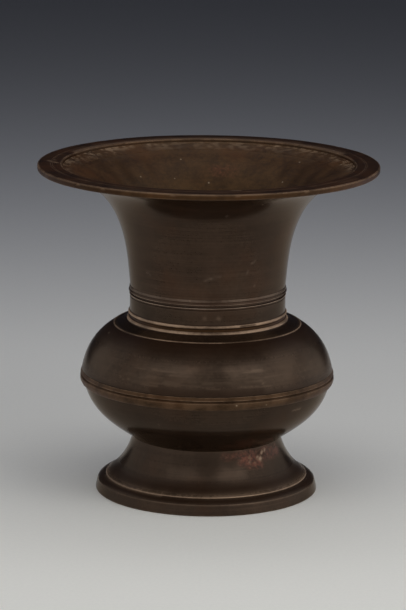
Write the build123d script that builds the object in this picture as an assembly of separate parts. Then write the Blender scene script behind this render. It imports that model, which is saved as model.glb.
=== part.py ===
from build123d import *

import math
import os

# A turned bronze vessel: flat lip, trumpet neck, short collar, round belly with a girdle, waist and flared foot.
# It is built from turned sections that stack on one axis and are joined by spigots, sockets and soft solder.
# Millimetres. The axis is Z, the origin is the middle of the face that it stands on, and +Z is up.

# Heights of the stacked sections, from the ground to the lip
foot_height = 25.4
bowl_height = 28.0
dome_height = 23.7
shoulder_height = 6.5
collar_height = 6.4
neck_ring_height = 4.4
neck_height = 52.8
rim_thickness = 2.8

# Outer radii
rim_radius = 76.8
neck_radius = 35.1
shoulder_radius = 42.6
belly_radius = 56.9
waist_radius = 33.6
foot_radius = 50.5

# Walls and joints
neck_wall = 2.5
throat_wall = 3.9
spigot_wall = 2.0
belly_wall = 2.8
floor_thickness = 3.0
foot_ring_width = 4.5
solder_gap = 0.2
solder_fillet = 0.6
spigot_reach = 12.4
belly_spigot_reach = 4.0
tenon_reach = 4.0
tenon_wall = 3.5
foot_socket_wall = 2.4

# Lip details
rim_width = 11.0
rim_edge = 0.4
rim_line_inset = 6.3
rim_line_width = 0.5
rim_line_depth = 0.25
ledge_depth = 2.05
ledge_width = 1.8
rim_seat_width = 5.4
flange_edge = 0.8

# Neck and neck ring details
flare_start_angle = 26.0
stem_spread = 7.0
stem_lean = 0.09
bead_proud = 0.7
bead_width = 2.2
fine_line_proud = 0.3
fine_line_width = 0.8
ring_groove_depth = 0.15

# Shoulder mouldings
collar_proud = 0.1
upper_moulding_proud = 0.75
lower_moulding_proud = 1.65
moulding_width = 1.5
shoulder_line_width = 0.9
shoulder_line_proud = 0.25

# Girdle details
girdle_height = 6.0
girdle_step = 0.3
girdle_proud = 0.5
girdle_groove_depth = 0.35
girdle_groove_width = 0.5
girdle_seat_depth = 1.3
seam_share = 0.58

# Foot details
ring_face_height = 4.8
ring_face_lean = 1.1
base_edge = 0.3
arris_height = 7.3
arris_inset = 4.7
arris_step = 0.4

# Slopes of the belly and foot curves at their ends, in degrees from level
shoulder_slope = 30.7
dome_edge_slope = 80.0
inner_shoulder_slope = 15.4
bowl_edge_slope = 79.0
bowl_waist_slope = 34.0
inner_bowl_edge_slope = 83.0
floor_slope = 12.0
foot_waist_slope = 78.0
arris_slope = 29.0
inner_foot_slope = 32.0
inner_socket_slope = 76.0

# How far each end of a curve holds its slope, as a share of the section's height
dome_shoulder_hold = 0.46
dome_edge_hold = 0.34
inner_dome_hold = 0.43
bowl_edge_hold = 0.46
bowl_waist_hold = 0.39
inner_bowl_hold = 0.42
foot_waist_hold = 0.44
foot_hold = 0.33

# Heights that follow
waist_z = foot_height
seam_z = waist_z + bowl_height
shoulder_z = seam_z + dome_height
collar_z = shoulder_z + shoulder_height
ring_z = collar_z + collar_height
neck_z = ring_z + neck_ring_height
rim_z = neck_z + neck_height
top_z = rim_z + rim_thickness

# Radii that follow
throat_radius = neck_radius - throat_wall
spigot_radius = throat_radius + spigot_wall
socket_radius = spigot_radius + solder_gap
collar_radius = neck_radius + collar_proud
seat_radius = belly_radius - girdle_seat_depth
belly_spigot_radius = seat_radius - spigot_wall - solder_gap
belly_bore_radius = belly_spigot_radius + solder_gap
foot_socket_radius = waist_radius - foot_socket_wall
tenon_radius = foot_socket_radius - solder_gap
rim_bore_radius = rim_radius - rim_width
flange_radius = rim_bore_radius + rim_seat_width

# Girdle heights: the seam is inside the hoop
girdle_bottom = seam_z - girdle_height * seam_share
girdle_top = girdle_bottom + girdle_height


def at(radius, height):
    """A point of the half section, in the plane of the axis."""
    return (radius, 0, height)


def direction(angle):
    """A unit step in the half section, with the angle taken from level outwards, positive upwards."""
    return math.cos(math.radians(angle)), math.sin(math.radians(angle))


def sweep(start, start_angle, start_pull, end, end_angle, end_pull):
    """A smooth curve that leaves start and reaches end along the given angles."""
    out_r, out_z = direction(start_angle)
    in_r, in_z = direction(end_angle)
    first = at(start[0] + start_pull * out_r, start[1] + start_pull * out_z)
    second = at(end[0] - end_pull * in_r, end[1] - end_pull * in_z)
    return Bezier(at(*start), first, second, at(*end))


def straight(*points):
    """Straight runs through points of the half section."""
    return Polyline(*[at(*point) for point in points])


def bead(start, end, proud):
    """A rounded moulding between two points, proud of the straight line that joins them."""
    mid_r = (start[0] + end[0]) / 2
    mid_z = (start[1] + end[1]) / 2
    step_r = end[0] - start[0]
    step_z = end[1] - start[1]
    length = math.hypot(step_r, step_z)
    crown = at(mid_r - proud * step_z / length, mid_z + proud * step_r / length)
    return ThreePointArc(at(*start), crown, at(*end))


def turned(*runs):
    """A solid of revolution from connected runs of its half section."""
    edges = [edge for run in runs for edge in run.edges()]
    return revolve(Face(Wire(edges)), Axis.Z)


def make_mouth_rim():
    """Flat lip ring with eased edges and one fine line turned into its top."""
    line_r = rim_radius - rim_line_inset
    return turned(
        straight(
            (rim_bore_radius, rim_z),
            (rim_radius - rim_edge, rim_z),
            (rim_radius, rim_z + rim_edge),
            (rim_radius, top_z - rim_edge),
            (rim_radius - rim_edge, top_z),
            (line_r + rim_line_width / 2, top_z),
            (line_r, top_z - rim_line_depth),
            (line_r - rim_line_width / 2, top_z),
            (rim_bore_radius + rim_edge, top_z),
            (rim_bore_radius, top_z - rim_edge),
            (rim_bore_radius, rim_z),
        )
    )


def make_mouth_solder():
    """Solder under the lip ring and round its register, with a small fillet on the ledge."""
    seat_z = rim_z - solder_gap
    ledge_z = top_z - ledge_depth
    register_radius = rim_bore_radius - solder_gap
    return turned(
        straight(
            (register_radius, seat_z),
            (flange_radius, seat_z),
            (flange_radius, rim_z),
            (rim_bore_radius, rim_z),
            (rim_bore_radius, ledge_z + solder_fillet),
            (register_radius - solder_fillet, ledge_z),
            (register_radius, ledge_z),
            (register_radius, seat_z),
        )
    )


def make_neck():
    """Trumpet neck: spigot, stem, flare on one arc, flange with a register, and a throat with a true bore."""
    seat_z = rim_z - solder_gap
    under_z = seat_z - flange_edge
    ledge_z = top_z - ledge_depth
    register_radius = rim_bore_radius - solder_gap
    spigot_z = neck_z - spigot_reach

    # The flare is an arc about a centre below the flange's edge, and the inside is an arc about the same centre
    flare_cos = math.cos(math.radians(flare_start_angle))
    flare_radius = (flange_radius - neck_radius - stem_spread) / flare_cos
    centre_z = under_z - flare_radius
    inner_radius = flare_radius + neck_wall

    def flare(radius, angle):
        along, up = direction(angle)
        return flange_radius - radius * along, centre_z + radius * up

    flare_start = flare(flare_radius, flare_start_angle)
    inner_start = flare(inner_radius, flare_start_angle)
    ledge_r = register_radius - ledge_width
    ledge_angle = math.degrees(math.acos((flange_radius - ledge_r) / inner_radius))
    ledge_mid_angle = (flare_start_angle + ledge_angle) / 2
    flare_mid_angle = (flare_start_angle + 90) / 2

    stem_rise = flare_start[1] - neck_z
    inner_rise = inner_start[1] - neck_z
    stem_angle = 90 - math.degrees(math.atan(stem_lean))
    flare_angle = 90 - flare_start_angle
    pull = 1 / (3 * flare_cos)
    return turned(
        straight(
            (throat_radius, spigot_z),
            (spigot_radius, spigot_z),
            (spigot_radius, neck_z),
            (neck_radius, neck_z),
        ),
        sweep((neck_radius, neck_z), stem_angle, stem_rise / 3, flare_start, flare_angle, stem_rise * pull),
        ThreePointArc(
            at(*flare_start),
            at(*flare(flare_radius, flare_mid_angle)),
            at(flange_radius, under_z),
        ),
        straight(
            (flange_radius, under_z),
            (flange_radius, seat_z),
            (register_radius, seat_z),
            (register_radius, ledge_z),
            (ledge_r, ledge_z),
            flare(inner_radius, ledge_angle),
        ),
        ThreePointArc(
            at(*flare(inner_radius, ledge_angle)),
            at(*flare(inner_radius, ledge_mid_angle)),
            at(*inner_start),
        ),
        sweep(inner_start, flare_angle - 180, inner_rise * pull, (throat_radius, neck_z), -90, inner_rise / 3),
        straight((throat_radius, neck_z), (throat_radius, spigot_z)),
    )


def make_neck_ring():
    """Ring on the spigot, with a broad bead under the neck and a finer line below it."""
    groove_radius = neck_radius - ring_groove_depth
    bead_top = neck_z - ring_groove_depth
    bead_bottom = bead_top - bead_width
    line_bottom = ring_z + ring_groove_depth
    line_top = line_bottom + fine_line_width
    return turned(
        straight(
            (socket_radius, neck_z),
            (socket_radius, ring_z),
            (collar_radius, ring_z),
            (collar_radius, line_bottom),
        ),
        bead((collar_radius, line_bottom), (collar_radius, line_top), -fine_line_proud),
        straight(
            (collar_radius, line_top),
            (groove_radius, line_top + ring_groove_depth),
            (groove_radius, bead_bottom),
        ),
        bead((groove_radius, bead_bottom), (neck_radius, bead_top), -bead_proud),
        straight((neck_radius, bead_top), (neck_radius, neck_z), (socket_radius, neck_z)),
    )


def make_neck_solder():
    """Solder sleeve round the spigot, inside the neck ring and the collar."""
    spigot_z = neck_z - spigot_reach
    return turned(
        straight(
            (spigot_radius, spigot_z),
            (socket_radius, spigot_z),
            (socket_radius, neck_z),
            (spigot_radius, neck_z),
            (spigot_radius, spigot_z),
        )
    )


def make_upper_belly():
    """Collar, two mouldings, sloping shoulder with a line at its edge, and the upper half of the belly."""
    moulding_r = collar_radius + lower_moulding_proud / 2
    upper_bottom = collar_z - moulding_width
    lower_top = collar_z - shoulder_height / 2 + moulding_width / 2
    lower_bottom = lower_top - moulding_width
    line_inner = shoulder_radius - shoulder_line_width
    shelf_top = (moulding_r, lower_bottom)
    shelf_end = (line_inner, shoulder_z)
    dome_start = (shoulder_radius, shoulder_z - shoulder_line_proud)
    dome_end = (belly_radius, girdle_top)
    bore_top = girdle_top + belly_wall
    return turned(
        straight((socket_radius, ring_z), (collar_radius, ring_z), (collar_radius, collar_z)),
        bead((collar_radius, collar_z), (collar_radius, upper_bottom), upper_moulding_proud),
        straight((collar_radius, upper_bottom), (collar_radius, lower_top)),
        bead((collar_radius, lower_top), shelf_top, lower_moulding_proud / 2),
        bead(shelf_top, shelf_end, -shoulder_line_proud),
        bead(shelf_end, dome_start, shoulder_line_proud),
        sweep(
            dome_start,
            -shoulder_slope,
            dome_shoulder_hold * dome_height,
            dome_end,
            -dome_edge_slope,
            dome_edge_hold * dome_height,
        ),
        straight(
            dome_end,
            (seat_radius, girdle_top),
            (seat_radius, seam_z),
            (belly_bore_radius, seam_z),
            (belly_bore_radius, bore_top),
        ),
        sweep(
            (belly_bore_radius, bore_top),
            90,
            inner_dome_hold * dome_height,
            (socket_radius, shoulder_z),
            180 - inner_shoulder_slope,
            inner_dome_hold * dome_height,
        ),
        straight((socket_radius, shoulder_z), (socket_radius, ring_z)),
    )


def make_belly_girdle():
    """Hoop over the belly's seam: a broad lower band, a groove and an upper bead."""
    face_radius = belly_radius + girdle_step
    groove_radius = face_radius - girdle_groove_depth
    groove_z = girdle_bottom + girdle_height * seam_share
    groove_low = groove_z - girdle_groove_width / 2
    groove_high = groove_z + girdle_groove_width / 2
    return turned(
        straight((seat_radius, girdle_top), (seat_radius, girdle_bottom), (groove_radius, girdle_bottom)),
        bead((groove_radius, girdle_bottom), (face_radius, groove_low), -girdle_proud),
        straight((face_radius, groove_low), (groove_radius, groove_z), (face_radius, groove_high)),
        bead((face_radius, groove_high), (belly_radius, girdle_top), -girdle_proud),
        straight((belly_radius, girdle_top), (seat_radius, girdle_top)),
    )


def make_belly_solder():
    """Solder sleeve round the bowl's spigot, with a fillet on the inside of the belly."""
    spigot_top = seam_z + belly_spigot_reach
    return turned(
        straight(
            (belly_spigot_radius, seam_z),
            (belly_bore_radius, seam_z),
            (belly_bore_radius, spigot_top + solder_fillet),
            (belly_spigot_radius - solder_fillet, spigot_top),
            (belly_spigot_radius, spigot_top),
            (belly_spigot_radius, seam_z),
        )
    )


def make_lower_belly():
    """Bowl with a closed floor, a spigot round its edge and a ring tenon under its floor."""
    spigot_top = seam_z + belly_spigot_reach
    spigot_inner = belly_spigot_radius - spigot_wall
    floor_z = waist_z + floor_thickness
    tenon_z = waist_z - tenon_reach
    tenon_inner = tenon_radius - tenon_wall
    return turned(
        straight(
            (0, floor_z),
            (0, waist_z),
            (tenon_inner, waist_z),
            (tenon_inner, tenon_z),
            (tenon_radius, tenon_z),
            (tenon_radius, waist_z),
            (waist_radius, waist_z),
        ),
        sweep(
            (waist_radius, waist_z),
            bowl_waist_slope,
            bowl_waist_hold * bowl_height,
            (seat_radius, girdle_bottom),
            bowl_edge_slope,
            bowl_edge_hold * bowl_height,
        ),
        straight(
            (seat_radius, girdle_bottom),
            (seat_radius, seam_z),
            (belly_spigot_radius, seam_z),
            (belly_spigot_radius, spigot_top),
            (spigot_inner, spigot_top),
            (spigot_inner, girdle_bottom),
        ),
        sweep(
            (spigot_inner, girdle_bottom),
            inner_bowl_edge_slope - 180,
            inner_bowl_hold * bowl_height,
            (tenon_inner, floor_z),
            floor_slope - 180,
            inner_bowl_hold * bowl_height,
        ),
        straight((tenon_inner, floor_z), (0, floor_z)),
    )


def make_foot_solder():
    """Solder sleeve round the tenon, with a fillet on the inside of the foot."""
    tenon_z = waist_z - tenon_reach
    return turned(
        straight(
            (tenon_radius, waist_z),
            (tenon_radius, tenon_z),
            (tenon_radius - solder_fillet, tenon_z),
            (foot_socket_radius, tenon_z - solder_fillet),
            (foot_socket_radius, waist_z),
            (tenon_radius, waist_z),
        )
    )


def make_foot():
    """Flared foot: hollow sweep to an arris, then a rounded step and a leaning base ring."""
    arris = (foot_radius - arris_inset, arris_height)
    step = (arris[0] - arris_step / 2, arris_height - arris_step)
    face_top = (foot_radius - ring_face_lean, ring_face_height)
    ring_inner = foot_radius - foot_ring_width
    socket_bottom = waist_z - tenon_reach - 2 * solder_fillet
    inner_end = (ring_inner - base_edge, ring_face_height / 2)
    sweep_height = foot_height - arris_height
    return turned(
        straight((foot_socket_radius, waist_z), (waist_radius, waist_z)),
        sweep(
            (waist_radius, waist_z),
            -foot_waist_slope,
            foot_waist_hold * sweep_height,
            arris,
            -arris_slope,
            foot_hold * sweep_height,
        ),
        straight(arris, step),
        bead(step, face_top, arris_step),
        straight(
            face_top,
            (foot_radius, base_edge),
            (foot_radius - base_edge, 0),
            (ring_inner, 0),
            inner_end,
        ),
        sweep(
            inner_end,
            180 - inner_foot_slope,
            foot_hold * sweep_height,
            (foot_socket_radius, socket_bottom),
            180 - inner_socket_slope,
            foot_hold * sweep_height,
        ),
        straight((foot_socket_radius, socket_bottom), (foot_socket_radius, waist_z)),
    )


pieces = {
    "mouth_rim": make_mouth_rim(),
    "mouth_solder": make_mouth_solder(),
    "neck": make_neck(),
    "neck_ring": make_neck_ring(),
    "neck_solder": make_neck_solder(),
    "upper_belly": make_upper_belly(),
    "belly_girdle": make_belly_girdle(),
    "belly_solder": make_belly_solder(),
    "lower_belly": make_lower_belly(),
    "foot_solder": make_foot_solder(),
    "foot": make_foot(),
}

os.makedirs("parts", exist_ok=True)
for name, solid in pieces.items():
    export_step(solid, f"parts/{name}.step")
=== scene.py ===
# %% [markdown]
# A brown bronze vessel with a flaring mouth, built up from turned sections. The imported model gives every
# piece its place and size. This lesson gives the pieces their finish: worn edges, lathe lines, old wax,
# solder and a patch of corrosion. All sizes in the cells are millimetres, and they become metres only when
# a mesh or a light is made.

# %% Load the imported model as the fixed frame
import math
from functools import partial
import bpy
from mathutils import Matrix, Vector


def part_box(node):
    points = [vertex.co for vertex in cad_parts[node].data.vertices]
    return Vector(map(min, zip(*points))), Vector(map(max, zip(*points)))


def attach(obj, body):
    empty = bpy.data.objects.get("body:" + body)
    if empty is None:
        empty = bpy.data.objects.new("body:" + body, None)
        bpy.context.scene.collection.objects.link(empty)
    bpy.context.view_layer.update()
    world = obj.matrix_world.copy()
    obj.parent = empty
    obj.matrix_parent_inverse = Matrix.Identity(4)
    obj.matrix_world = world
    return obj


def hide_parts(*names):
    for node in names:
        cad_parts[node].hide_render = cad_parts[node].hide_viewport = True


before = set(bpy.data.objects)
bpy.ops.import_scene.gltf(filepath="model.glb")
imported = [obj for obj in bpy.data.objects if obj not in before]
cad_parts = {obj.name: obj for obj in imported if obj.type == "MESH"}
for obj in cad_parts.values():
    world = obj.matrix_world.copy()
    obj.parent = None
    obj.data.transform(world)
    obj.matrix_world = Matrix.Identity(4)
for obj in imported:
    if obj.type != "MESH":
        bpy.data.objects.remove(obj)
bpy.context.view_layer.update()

from types import SimpleNamespace

import bmesh
import bpy
import numpy as np
from mathutils import Euler, Vector

METRES = 0.001
print("nodes:", ", ".join(sorted(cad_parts)))

# %% [markdown]
# The camera comes first, so that every later choice can be judged in the same picture. The vessel is seen a
# little from above, and the picture leans by half a degree. A short lens close by would swell the mouth. A
# long lens at 1.5 m keeps the ellipses of lip and foot nearly alike, which is what the eye reads as a
# product shot.

# %% Camera at the picture's viewing angle
view_distance = 1486.7
view_pitch = 12.515
view_roll = 0.491
target_height = 84.9
axis_offset = -2.07
focal_length = 194.0
farthest_view = 20000.0

camera_data = bpy.data.cameras.new("studio_camera")
camera_data.lens = focal_length
camera_data.clip_end = farthest_view * METRES
camera = bpy.data.objects.new("studio_camera", camera_data)
bpy.context.scene.collection.objects.link(camera)
bpy.context.scene.camera = camera

pitch = math.radians(view_pitch)
camera.location = Vector((
    axis_offset,
    -view_distance * math.cos(pitch),
    target_height + view_distance * math.sin(pitch),
)) * METRES
level_turn = Euler((math.pi / 2 - pitch, 0, 0)).to_matrix()
roll_turn = Euler((0, 0, math.radians(view_roll))).to_matrix()
camera.rotation_euler = (level_turn @ roll_turn).to_euler()
print("camera at", [round(c / METRES) for c in camera.location], "mm")

# %% [markdown]
# Colours are written the way a paint chart gives them, as sRGB hex values, and one function makes them
# linear. A pattern's scale in Blender is a count per metre, so a second function works it out from
# millimetres. A third adds a shader node: its settings by name, and its sockets with a value, a socket or
# another node.

# %% Helpers for colours, patterns and nodes
def linear(hex_colour):
    """sRGB hex to linear RGBA."""
    channels = [int(hex_colour[i:i + 2], 16) / 255 for i in (1, 3, 5)]
    low = [c / 12.92 for c in channels]
    high = [((c + 0.055) / 1.055) ** 2.4 for c in channels]
    return [a if c <= 0.04045 else b for a, b, c in zip(low, high, channels)] + [1.0]


def scale_of(size):
    """Texture scale for a pattern whose marks are this many millimetres across."""
    return 1 / (size * METRES)


def add_node(tree, kind, sockets=None, **settings):
    """Adds a node with its settings. A socket takes a value, a socket's link or a node's first output."""
    node = tree.nodes.new("ShaderNode" + kind)
    for name, value in settings.items():
        setattr(node, name, value)
    for name, value in (sockets or {}).items():
        if isinstance(value, bpy.types.Node):
            value = next(output for output in value.outputs if output.enabled)
        if isinstance(value, bpy.types.NodeSocket):
            tree.links.new(value, node.inputs[name])
        else:
            node.inputs[name].default_value = value
    return node


def new_material(name):
    """A material without nodes, and the function that adds them to its tree."""
    material = bpy.data.materials.new(name)
    material.use_nodes = True
    material.node_tree.nodes.clear()
    return material, partial(add_node, material.node_tree)


print("patina brown #43352a in linear light:", [round(c, 4) for c in linear("#43352a")[:3]])

# %% [markdown]
# The stage is one sheet of pale paper, wide enough to run out of the picture on every side. It is matt,
# with only a trace of fibre in its tone, so that nothing on it draws the eye from the bronze. A plane would
# do as well, but a disc has no corners to show in the bronze.

# %% Pale floor
floor_radius = 3200.0
floor_corners = 96
fibre_size = 1.5

floor_mesh = bpy.data.meshes.new("paper_floor")
floor_angles = [2 * math.pi * i / floor_corners for i in range(floor_corners)]
floor_points = [Vector((math.cos(a), math.sin(a), 0)) * floor_radius * METRES for a in floor_angles]
floor_mesh.from_pydata(floor_points, [], [range(floor_corners)])
floor = bpy.data.objects.new("paper_floor", floor_mesh)
bpy.context.scene.collection.objects.link(floor)

# Uncoated paper scatters light evenly, so the floor shows a soft shadow and no gloss
paper, add = new_material("Pale studio paper, matt")
place = add("TexCoord").outputs["Object"]
fibre = add("TexNoise", {"Vector": place, "Scale": scale_of(fibre_size)})
tone = add("Mix", {"Factor": fibre, "A": linear("#ecebe6"), "B": linear("#f4f3ec")}, data_type="RGBA")
sheet = add("BsdfPrincipled", {"Base Color": tone, "Roughness": 0.9})
add("OutputMaterial", {"Surface": sheet})
floor_mesh.materials.append(paper)
print("floor:", floor_radius * METRES, "m radius")

# %% [markdown]
# Dark polished bronze is hard to light, because it shows its surroundings more than its own colour. Bare
# lamps would stand on it as hard spots, so every light here is a broad glowing cloth: upright walls, level
# ceilings, and lamps behind cloth that are brightest in their middle.

# %% Cloths and lamps
tent_side = 550.0
tent_front = 500.0
tent_back = 600.0
tent_height = 750.0
side_strips = 8
lamp_distance = 700.0
lamp_aim = 60.0
lamp_shares = (0.6, 0.85, 1.1, 1.35)


def soft_box(name, place, aim, width, height, glow, tint="#ffffff"):
    """A glowing cloth that the camera doesn't see. A glow of 1 is as bright as the picture's white."""
    light = bpy.data.lights.new(name, "AREA")
    light.shape = "RECTANGLE"
    light.size = width * METRES
    light.size_y = height * METRES
    light.energy = glow * math.pi * light.size * light.size_y
    light.color = linear(tint)[:3]
    cloth = bpy.data.objects.new(name, light)
    cloth.location = Vector(place) * METRES
    cloth.rotation_euler = (Vector(place) - Vector(aim)).to_track_quat("Z", "Y").to_euler()
    cloth.visible_camera = False
    bpy.context.scene.collection.objects.link(cloth)


def wall(name, x, y, width, glow, bottom=0, top=tent_height):
    """An upright cloth that faces the tent's middle."""
    middle = (bottom + top) / 2
    soft_box(name, (x, y, middle), (0, y if x else 0, middle), width, top - bottom, glow)


def side_wall(name, x, front_glow, middle_glow, back_glow):
    """A cloth along one side, in strips that fade from front to back."""
    width = (tent_front + tent_back) / side_strips
    for i in range(side_strips):
        y = (i + 0.5) * width - tent_front
        glow = float(np.interp(y, (-tent_front, 0, tent_back), (front_glow, middle_glow, back_glow)))
        wall(f"{name}_{i}", x, y, width, glow)


def ceiling(name, y, depth, glow, tint="#ffffff"):
    """A level cloth across the tent's top."""
    soft_box(name, (0, y, tent_height), (0, y, 0), 2 * tent_side, depth, glow, tint)


def lamp(name, right, rise, width, height, glow):
    """A lamp's bright patch, by its angles right of the front and above level, brightest in its middle."""
    level = lamp_distance * math.cos(math.radians(rise))
    place = (
        level * math.sin(math.radians(right)),
        -level * math.cos(math.radians(right)),
        lamp_aim + lamp_distance * math.sin(math.radians(rise)),
    )
    for share in lamp_shares:
        part = glow / len(lamp_shares)
        soft_box(f"{name}_{share}", place, (0, 0, lamp_aim), share * width, share * height, part)


print("tent:", 2 * tent_side, "wide,", tent_front + tent_back, "deep,", tent_height, "high")

# %% [markdown]
# The vessel stands in a tent of white cloth, open at the back. A box hangs over the mouth, and at each side
# of the front a tall box stands under a brighter lamp, so that the belly shows two broad soft lights. The
# open back leaves the room dim, with a little blue from above, and the paper falls off to a dark grey
# there.

# %% Hang the lights
front_gap = 220.0
over_mouth = (0, 50.0, 480.0)
under_box = (0, 50.0, 0)

side_wall("left_wall", -tent_side, front_glow=0.86, middle_glow=0.56, back_glow=0.23)
side_wall("right_wall", tent_side, front_glow=1.05, middle_glow=0.87, back_glow=0.2)
wall("front_wall", 0, -tent_front, 2 * tent_side, glow=0.46, bottom=front_gap)
wall("front_skirt", 0, -tent_front, 2 * tent_side, glow=0.6, top=front_gap)
ceiling("front_ceiling", y=-380, depth=540, glow=0.32)
ceiling("back_ceiling", y=500, depth=300, glow=0.2, tint="#5a8cff")
soft_box("top_box", over_mouth, under_box, width=460, height=160, glow=1.6)
lamp("left_box", right=-30, rise=28, width=260, height=520, glow=0.74)
lamp("left_lamp", right=-39, rise=44, width=330, height=200, glow=1.9)
lamp("right_box", right=38, rise=28, width=320, height=520, glow=1.1)
lamp("right_lamp", right=44, rise=44, width=300, height=210, glow=3.2)

room = bpy.data.worlds.new("dim_room")
room.use_nodes = True
room.node_tree.nodes["Background"].inputs["Color"].default_value = linear("#20222a")
bpy.context.scene.world = room
bpy.context.scene.view_settings.view_transform = "Standard"
print("lights:", len(bpy.data.lights))

# %% [markdown]
# Everything on this vessel was turned, so each piece is drawn as a turner thinks of it: a half section,
# swept once round the axis. A section is a list of corners, each a radius and a height, and of curves
# between them: smooth sweeps, arcs and rounded beads, sampled finely. A screw modifier could sweep a curve
# too, but numbers in arrays can also say where the edges are worn.

# %% Curves of a half section
fine_step = 0.1
curve_points = 400
bead_points = 60


def running_total(values):
    """The sums of the first none, one, two and more of the values."""
    return np.append(0, np.cumsum(values))


def even_steps(points, step):
    """The same line with points at even steps."""
    points = np.asarray(points, float)
    along = running_total(np.hypot(*np.diff(points, axis=0).T))
    places = np.linspace(0, along[-1], max(2, round(along[-1] / step) + 1))
    return np.column_stack([np.interp(places, along, points[:, k]) for k in (0, 1)])


def heading(angle):
    """A step of 1 at an angle in degrees from level outwards."""
    return np.array([math.cos(math.radians(angle)), math.sin(math.radians(angle))])


def sweep(start, start_angle, start_pull, end, end_angle, end_pull):
    """A smooth curve that leaves start and reaches end along angles."""
    start, end = np.array(start, float), np.array(end, float)
    first, second = start + start_pull * heading(start_angle), end - end_pull * heading(end_angle)
    t = np.linspace(0, 1, curve_points)[:, None]
    curve = (1 - t) ** 3 * start + 3 * (1 - t) ** 2 * t * first + 3 * (1 - t) * t ** 2 * second + t ** 3 * end
    return even_steps(curve, fine_step)


def round_about(centre, radius, start_angle, end_angle):
    """An arc about a centre of the half section, between angles."""
    angles = np.radians(np.linspace(start_angle, end_angle, curve_points))
    curve = np.column_stack([centre[0] + radius * np.cos(angles), centre[1] + radius * np.sin(angles)])
    return even_steps(curve, fine_step)


def bead(start, end, proud):
    """A rounded moulding between two points, proud to the right of the way from start to end."""
    start, end = np.array(start, float), np.array(end, float)
    chord = end - start
    length = np.hypot(*chord)
    right = np.array([chord[1], -chord[0]]) / length
    radius = (length ** 2 / 4 + proud ** 2) / (2 * proud)
    half = math.asin(min(1, length / (2 * abs(radius)))) * (1 if proud > 0 else -1)
    turn = np.linspace(-half, half, bead_points)
    middle = (start + end) / 2 + right * (proud - radius)
    curve = middle + radius * (np.cos(turn)[:, None] * right + np.sin(turn)[:, None] * chord / length)
    return even_steps(curve, fine_step / 2)


print("a 2.2 mm bead takes", len(bead((35, 0), (35, 2.2), 0.7)), "points")

# %% [markdown]
# Long years of hands and cloths round every edge, and dirt and wax fill every corner. Both come from one
# step: the half section is rubbed, each point moving to the mean of its neighbours. Where rubbing took
# metal away the edge is worn bright, and where it filled a corner there is grime, so the same numbers that
# round the shape also say where the finish changes.

# %% Rub a half section and choose the mesh's rings
least = 1e-6
bend_window = 7
chord_error = 0.003


def rubbed(section, reach, closed):
    """Rounds a section's corners over this reach. Gives it with its normals and the depth worn or filled.

    A closed section ends where it starts.
    """
    sharp = even_steps(np.vstack(section), fine_step)
    sharp = sharp[:-1] if closed else sharp
    soft = sharp
    for _ in range(round(2 * (reach / fine_step) ** 2)):
        mean = (np.roll(soft, 1, 0) + 2 * soft + np.roll(soft, -1, 0)) / 4
        if not closed:
            mean[0], mean[-1] = soft[0], soft[-1]
        soft = mean
    along = np.roll(soft, -1, 0) - np.roll(soft, 1, 0)
    if not closed:
        along[0], along[-1] = soft[1] - soft[0], soft[-1] - soft[-2]
    outward = np.column_stack([along[:, 1], -along[:, 0]]) / np.hypot(*along.T)[:, None]
    moved = np.sum((soft - sharp) * outward, axis=1)
    return soft, outward, moved


def chosen_steps(section, finest, coarsest, closed):
    """Places along the section for the mesh's rings: close on edges and beads, wide on plain runs."""
    ends = np.vstack([section, section[:1]]) if closed else section
    step_r, step_z = np.diff(ends, axis=0).T
    steps = np.hypot(step_r, step_z)
    along = running_total(steps)
    bend = np.abs(np.gradient(np.unwrap(np.arctan2(step_z, step_r)))) / np.maximum(steps, least)
    bend = np.pad(bend, bend_window // 2, mode="wrap" if closed else "edge")
    bend = np.convolve(bend, np.ones(bend_window) / bend_window, "valid")
    widest_step = coarsest(*ends[:-1].T) if callable(coarsest) else coarsest
    spacing = np.clip(np.sqrt(8 * chord_error / np.maximum(bend, least)), finest, widest_step)
    count = running_total(steps / spacing)
    places = np.interp(np.linspace(0, count[-1], round(count[-1]) + 1), count, along)
    return (places[:-1] if closed else places), along


edge = rubbed([(0, 0), (5, 0), (5, 5)], 0.25, False)[2]
print("a rubbed square edge loses", round(-edge.min(), 3), "mm at its corner")

# %% [markdown]
# A hand-finished surface is never quite true, and it has a history: scratches, scuffs, dents and crusts. A
# swell is a sum of seeded waves through space, so it runs round the vessel without a seam. A mark is a soft
# stroke between two places, each given as degrees right of the front, radius and height.

# %% Swells and strokes
def swell(theta, r, z, size, seed, waves=16):
    """A smooth unevenness between -1 and 1 with swells of about this size, summed from seeded waves."""
    dice = np.random.default_rng(seed)
    spots = np.stack([r * np.cos(theta), r * np.sin(theta), z])
    total = np.zeros_like(r)
    for _ in range(waves):
        way = dice.normal(size=3)
        turns = 2 * math.pi / (size * dice.uniform(0.7, 1.5)) * way / np.linalg.norm(way)
        total = total + np.sin(np.tensordot(turns, spots, 1) + dice.uniform(0, 2 * math.pi))
    return np.tanh(total / math.sqrt(waves / 2))


def right_of(theta, angle):
    """Degrees from an angle right of the front, between -180 and 180."""
    return (np.degrees(theta) + 90 - angle + 180) % 360 - 180


def stroke(theta, r, z, start, end, width):
    """How strongly each vertex lies in a soft stroke of this half width."""
    turn = np.radians(right_of(theta, start[0]))
    apart = np.stack([turn * start[1], r - start[1], z - start[2]])
    way = np.array([math.radians(end[0] - start[0]) * start[1], end[1] - start[1], end[2] - start[2]])
    share = np.clip(np.tensordot(way, apart, 1) / max(way @ way, least), 0, 1)
    apart = apart - way[:, None, None] * share
    return np.exp(-np.sum(apart ** 2, axis=0) / width ** 2)


def strokes(kind, rows):
    """Marks of one kind, each row a start, an end, a half width, a strength, and a depth if it has one."""
    return [(kind, *row, 0.0)[:6] for row in rows]


def bell(distance, reach):
    """A strength of 1 at no distance, fading over this reach."""
    return np.exp(-(distance / reach) ** 2)


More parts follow.
